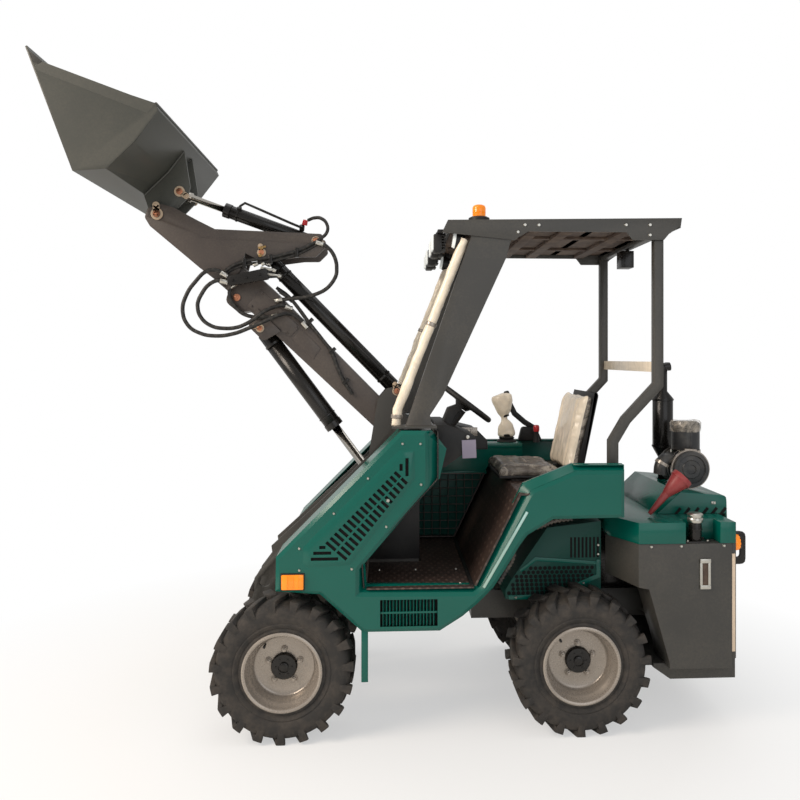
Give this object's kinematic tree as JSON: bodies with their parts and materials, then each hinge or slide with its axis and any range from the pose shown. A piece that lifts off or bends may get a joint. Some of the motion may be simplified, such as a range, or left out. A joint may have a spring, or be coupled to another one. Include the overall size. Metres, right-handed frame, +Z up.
{
  "type": "compact articulated wheel loader",
  "caption": "Small wheel loader with an open canopy, hinged in the middle, its single boom raised and its bucket rolled back.",
  "frame": {"origin": "on the ground under the middle of the machine's bounding box, boom raised", "axes": "+X forwards to the bucket, +Y to the operator's left, +Z up"},
  "size_m": [2.974, 1.11, 2.7961],
  "materials": {
    "teal_paint": "semi-gloss",
    "charcoal_paint": "satin",
    "arm_paint": "satin",
    "bucket_paint": "satin",
    "black_paint": "semi-gloss",
    "chrome_rod": "polished",
    "black_plastic": "matte",
    "hose_rubber": "matte",
    "floor_plate": "satin",
    "seat_vinyl": "soft sheen",
    "amber_lens": "glossy",
    "tyre_rubber": "matte",
    "rim_silver": "metallic"
  },
  "bodies": {
    "front_frame": {"front_chassis": "charcoal_paint", "front_axle": "black_paint", "left_side_panel": "teal_paint", "right_side_panel": "teal_paint", "left_vent_panel": "teal_paint", "right_vent_panel": "teal_paint", "floor_pan": "floor_plate", "foot_bulkhead": "black_paint", "seat_box": "floor_plate", "side_console": "teal_paint", "mesh_wall": "black_paint", "seat_cushion": "seat_vinyl", "seat_back": "seat_vinyl", "dash_console": "black_paint", "control_lever": "black_plastic", "canopy_roof": "charcoal_paint", "canopy_left_pillar": "charcoal_paint", "canopy_right_pillar": "charcoal_paint", "canopy_rear_frame": "charcoal_paint", "beacon": "amber_lens", "front_lights": "black_paint", "rear_light": "black_paint"},
    "rear_frame": {"rear_chassis": "charcoal_paint", "rear_axle": "black_paint", "engine_block": "black_paint", "engine_enclosure": "teal_paint", "hydraulic_tank": "charcoal_paint", "fuel_tank": "charcoal_paint", "deck": "teal_paint", "hood": "teal_paint", "rear_grille": "charcoal_paint", "counterweight": "charcoal_paint", "left_tail_guard": "black_paint", "right_tail_guard": "black_paint", "muffler": "black_paint", "air_cleaner": "black_plastic"},
    "boom": {"boom_beam": "arm_paint", "boom_head": "arm_paint", "coupler_block": "black_paint", "front_outer_hose": "hose_rubber", "front_inner_hose": "hose_rubber", "rear_loop_hose": "hose_rubber"},
    "lift_barrel": {"lift_cylinder_barrel": "black_paint"},
    "lift_rod": {"lift_cylinder_rod": "chrome_rod"},
    "level_barrel": {"level_cylinder_barrel": "black_paint"},
    "level_rod": {"level_cylinder_rod": "chrome_rod"},
    "tilt_barrel": {"tilt_cylinder_barrel": "black_paint"},
    "tilt_rod": {"tilt_cylinder_rod": "chrome_rod"},
    "bucket": {"bucket": "bucket_paint", "bucket_bracket": "bucket_paint"},
    "steering_wheel": {"steering_wheel": "black_plastic"},
    "front_left_wheel": {"front_left_tyre": "tyre_rubber", "front_left_rim": "rim_silver"},
    "front_right_wheel": {"front_right_tyre": "tyre_rubber", "front_right_rim": "rim_silver"},
    "rear_left_wheel": {"rear_left_tyre": "tyre_rubber", "rear_left_rim": "rim_silver"},
    "rear_right_wheel": {"rear_right_tyre": "tyre_rubber", "rear_right_rim": "rim_silver"}
  },
  "joints": [
    {"name": "frame_articulation", "type": "hinge", "parent": "front_frame", "child": "rear_frame", "pos_m": [-0.235, 0, 0.48], "axis": [0, 0, 1], "range_deg": [-30, 30]},
    {"name": "boom_lift", "type": "hinge", "parent": "front_frame", "child": "boom", "pos_m": [0.01, 0, 1.195], "axis": [0, -1, 0], "range_deg": [-86, 0]},
    {"name": "bucket_tilt", "type": "hinge", "parent": "boom", "child": "bucket", "pos_m": [1.108, 0, 2.22], "axis": [0, -1, 0], "range_deg": [-90, 30]},
    {"name": "lift_barrel_swing", "type": "hinge", "parent": "boom", "child": "lift_barrel", "pos_m": [0.65, 0, 1.703], "axis": [0, -1, 0], "range_deg": [-1, 16]},
    {"name": "lift_rod_slide", "type": "slide", "parent": "lift_barrel", "child": "lift_rod", "axis": [-0.5941, 0, -0.8044], "range_m": [-0.485, 0.005]},
    {"name": "level_barrel_swing", "type": "hinge", "parent": "front_frame", "child": "level_barrel", "pos_m": [0.02, 0, 1.414], "axis": [0, -1, 0], "range_deg": [-91, 1]},
    {"name": "level_rod_slide", "type": "slide", "parent": "level_barrel", "child": "level_rod", "axis": [0.698, 0, 0.7161], "range_m": [-0.005, 0.305]},
    {"name": "tilt_barrel_swing", "type": "hinge", "parent": "boom", "child": "tilt_barrel", "pos_m": [0.391, 0, 2.104], "axis": [0, -1, 0], "range_deg": [-3, 2]},
    {"name": "tilt_rod_slide", "type": "slide", "parent": "tilt_barrel", "child": "tilt_rod", "axis": [0.9408, 0, 0.3388], "range_m": [-0.065, 0.195]},
    {"name": "steering_turn", "type": "hinge", "parent": "front_frame", "child": "steering_wheel", "pos_m": [-0.305, 0, 1.355], "axis": [-0.6, 0, 0.8], "range_deg": [-545, 545]},
    {"name": "front_left_wheel_spin", "type": "hinge", "parent": "front_frame", "child": "front_left_wheel", "pos_m": [0.49, 0.422, 0.292], "axis": [0, 1, 0], "continuous": true},
    {"name": "front_right_wheel_spin", "type": "hinge", "parent": "front_frame", "child": "front_right_wheel", "pos_m": [0.49, -0.422, 0.292], "axis": [0, 1, 0], "continuous": true},
    {"name": "rear_left_wheel_spin", "type": "hinge", "parent": "rear_frame", "child": "rear_left_wheel", "pos_m": [-0.74, 0.422, 0.292], "axis": [0, 1, 0], "continuous": true},
    {"name": "rear_right_wheel_spin", "type": "hinge", "parent": "rear_frame", "child": "rear_right_wheel", "pos_m": [-0.74, -0.422, 0.292], "axis": [0, 1, 0], "continuous": true}
  ],
  "couplings": [
    {"joint": "lift_barrel_swing", "follows": "boom_lift", "ratio": -0.17},
    {"joint": "lift_rod_slide", "follows": "boom_lift", "m_per_rad": 0.32},
    {"joint": "level_barrel_swing", "follows": "boom_lift", "ratio": 1.04},
    {"joint": "level_rod_slide", "follows": "boom_lift", "m_per_rad": -0.199},
    {"joint": "tilt_barrel_swing", "follows": "bucket_tilt", "ratio": 0.02},
    {"joint": "tilt_rod_slide", "follows": "bucket_tilt", "m_per_rad": -0.119},
    {"joint": "steering_turn", "follows": "frame_articulation", "ratio": 18}
  ]
}
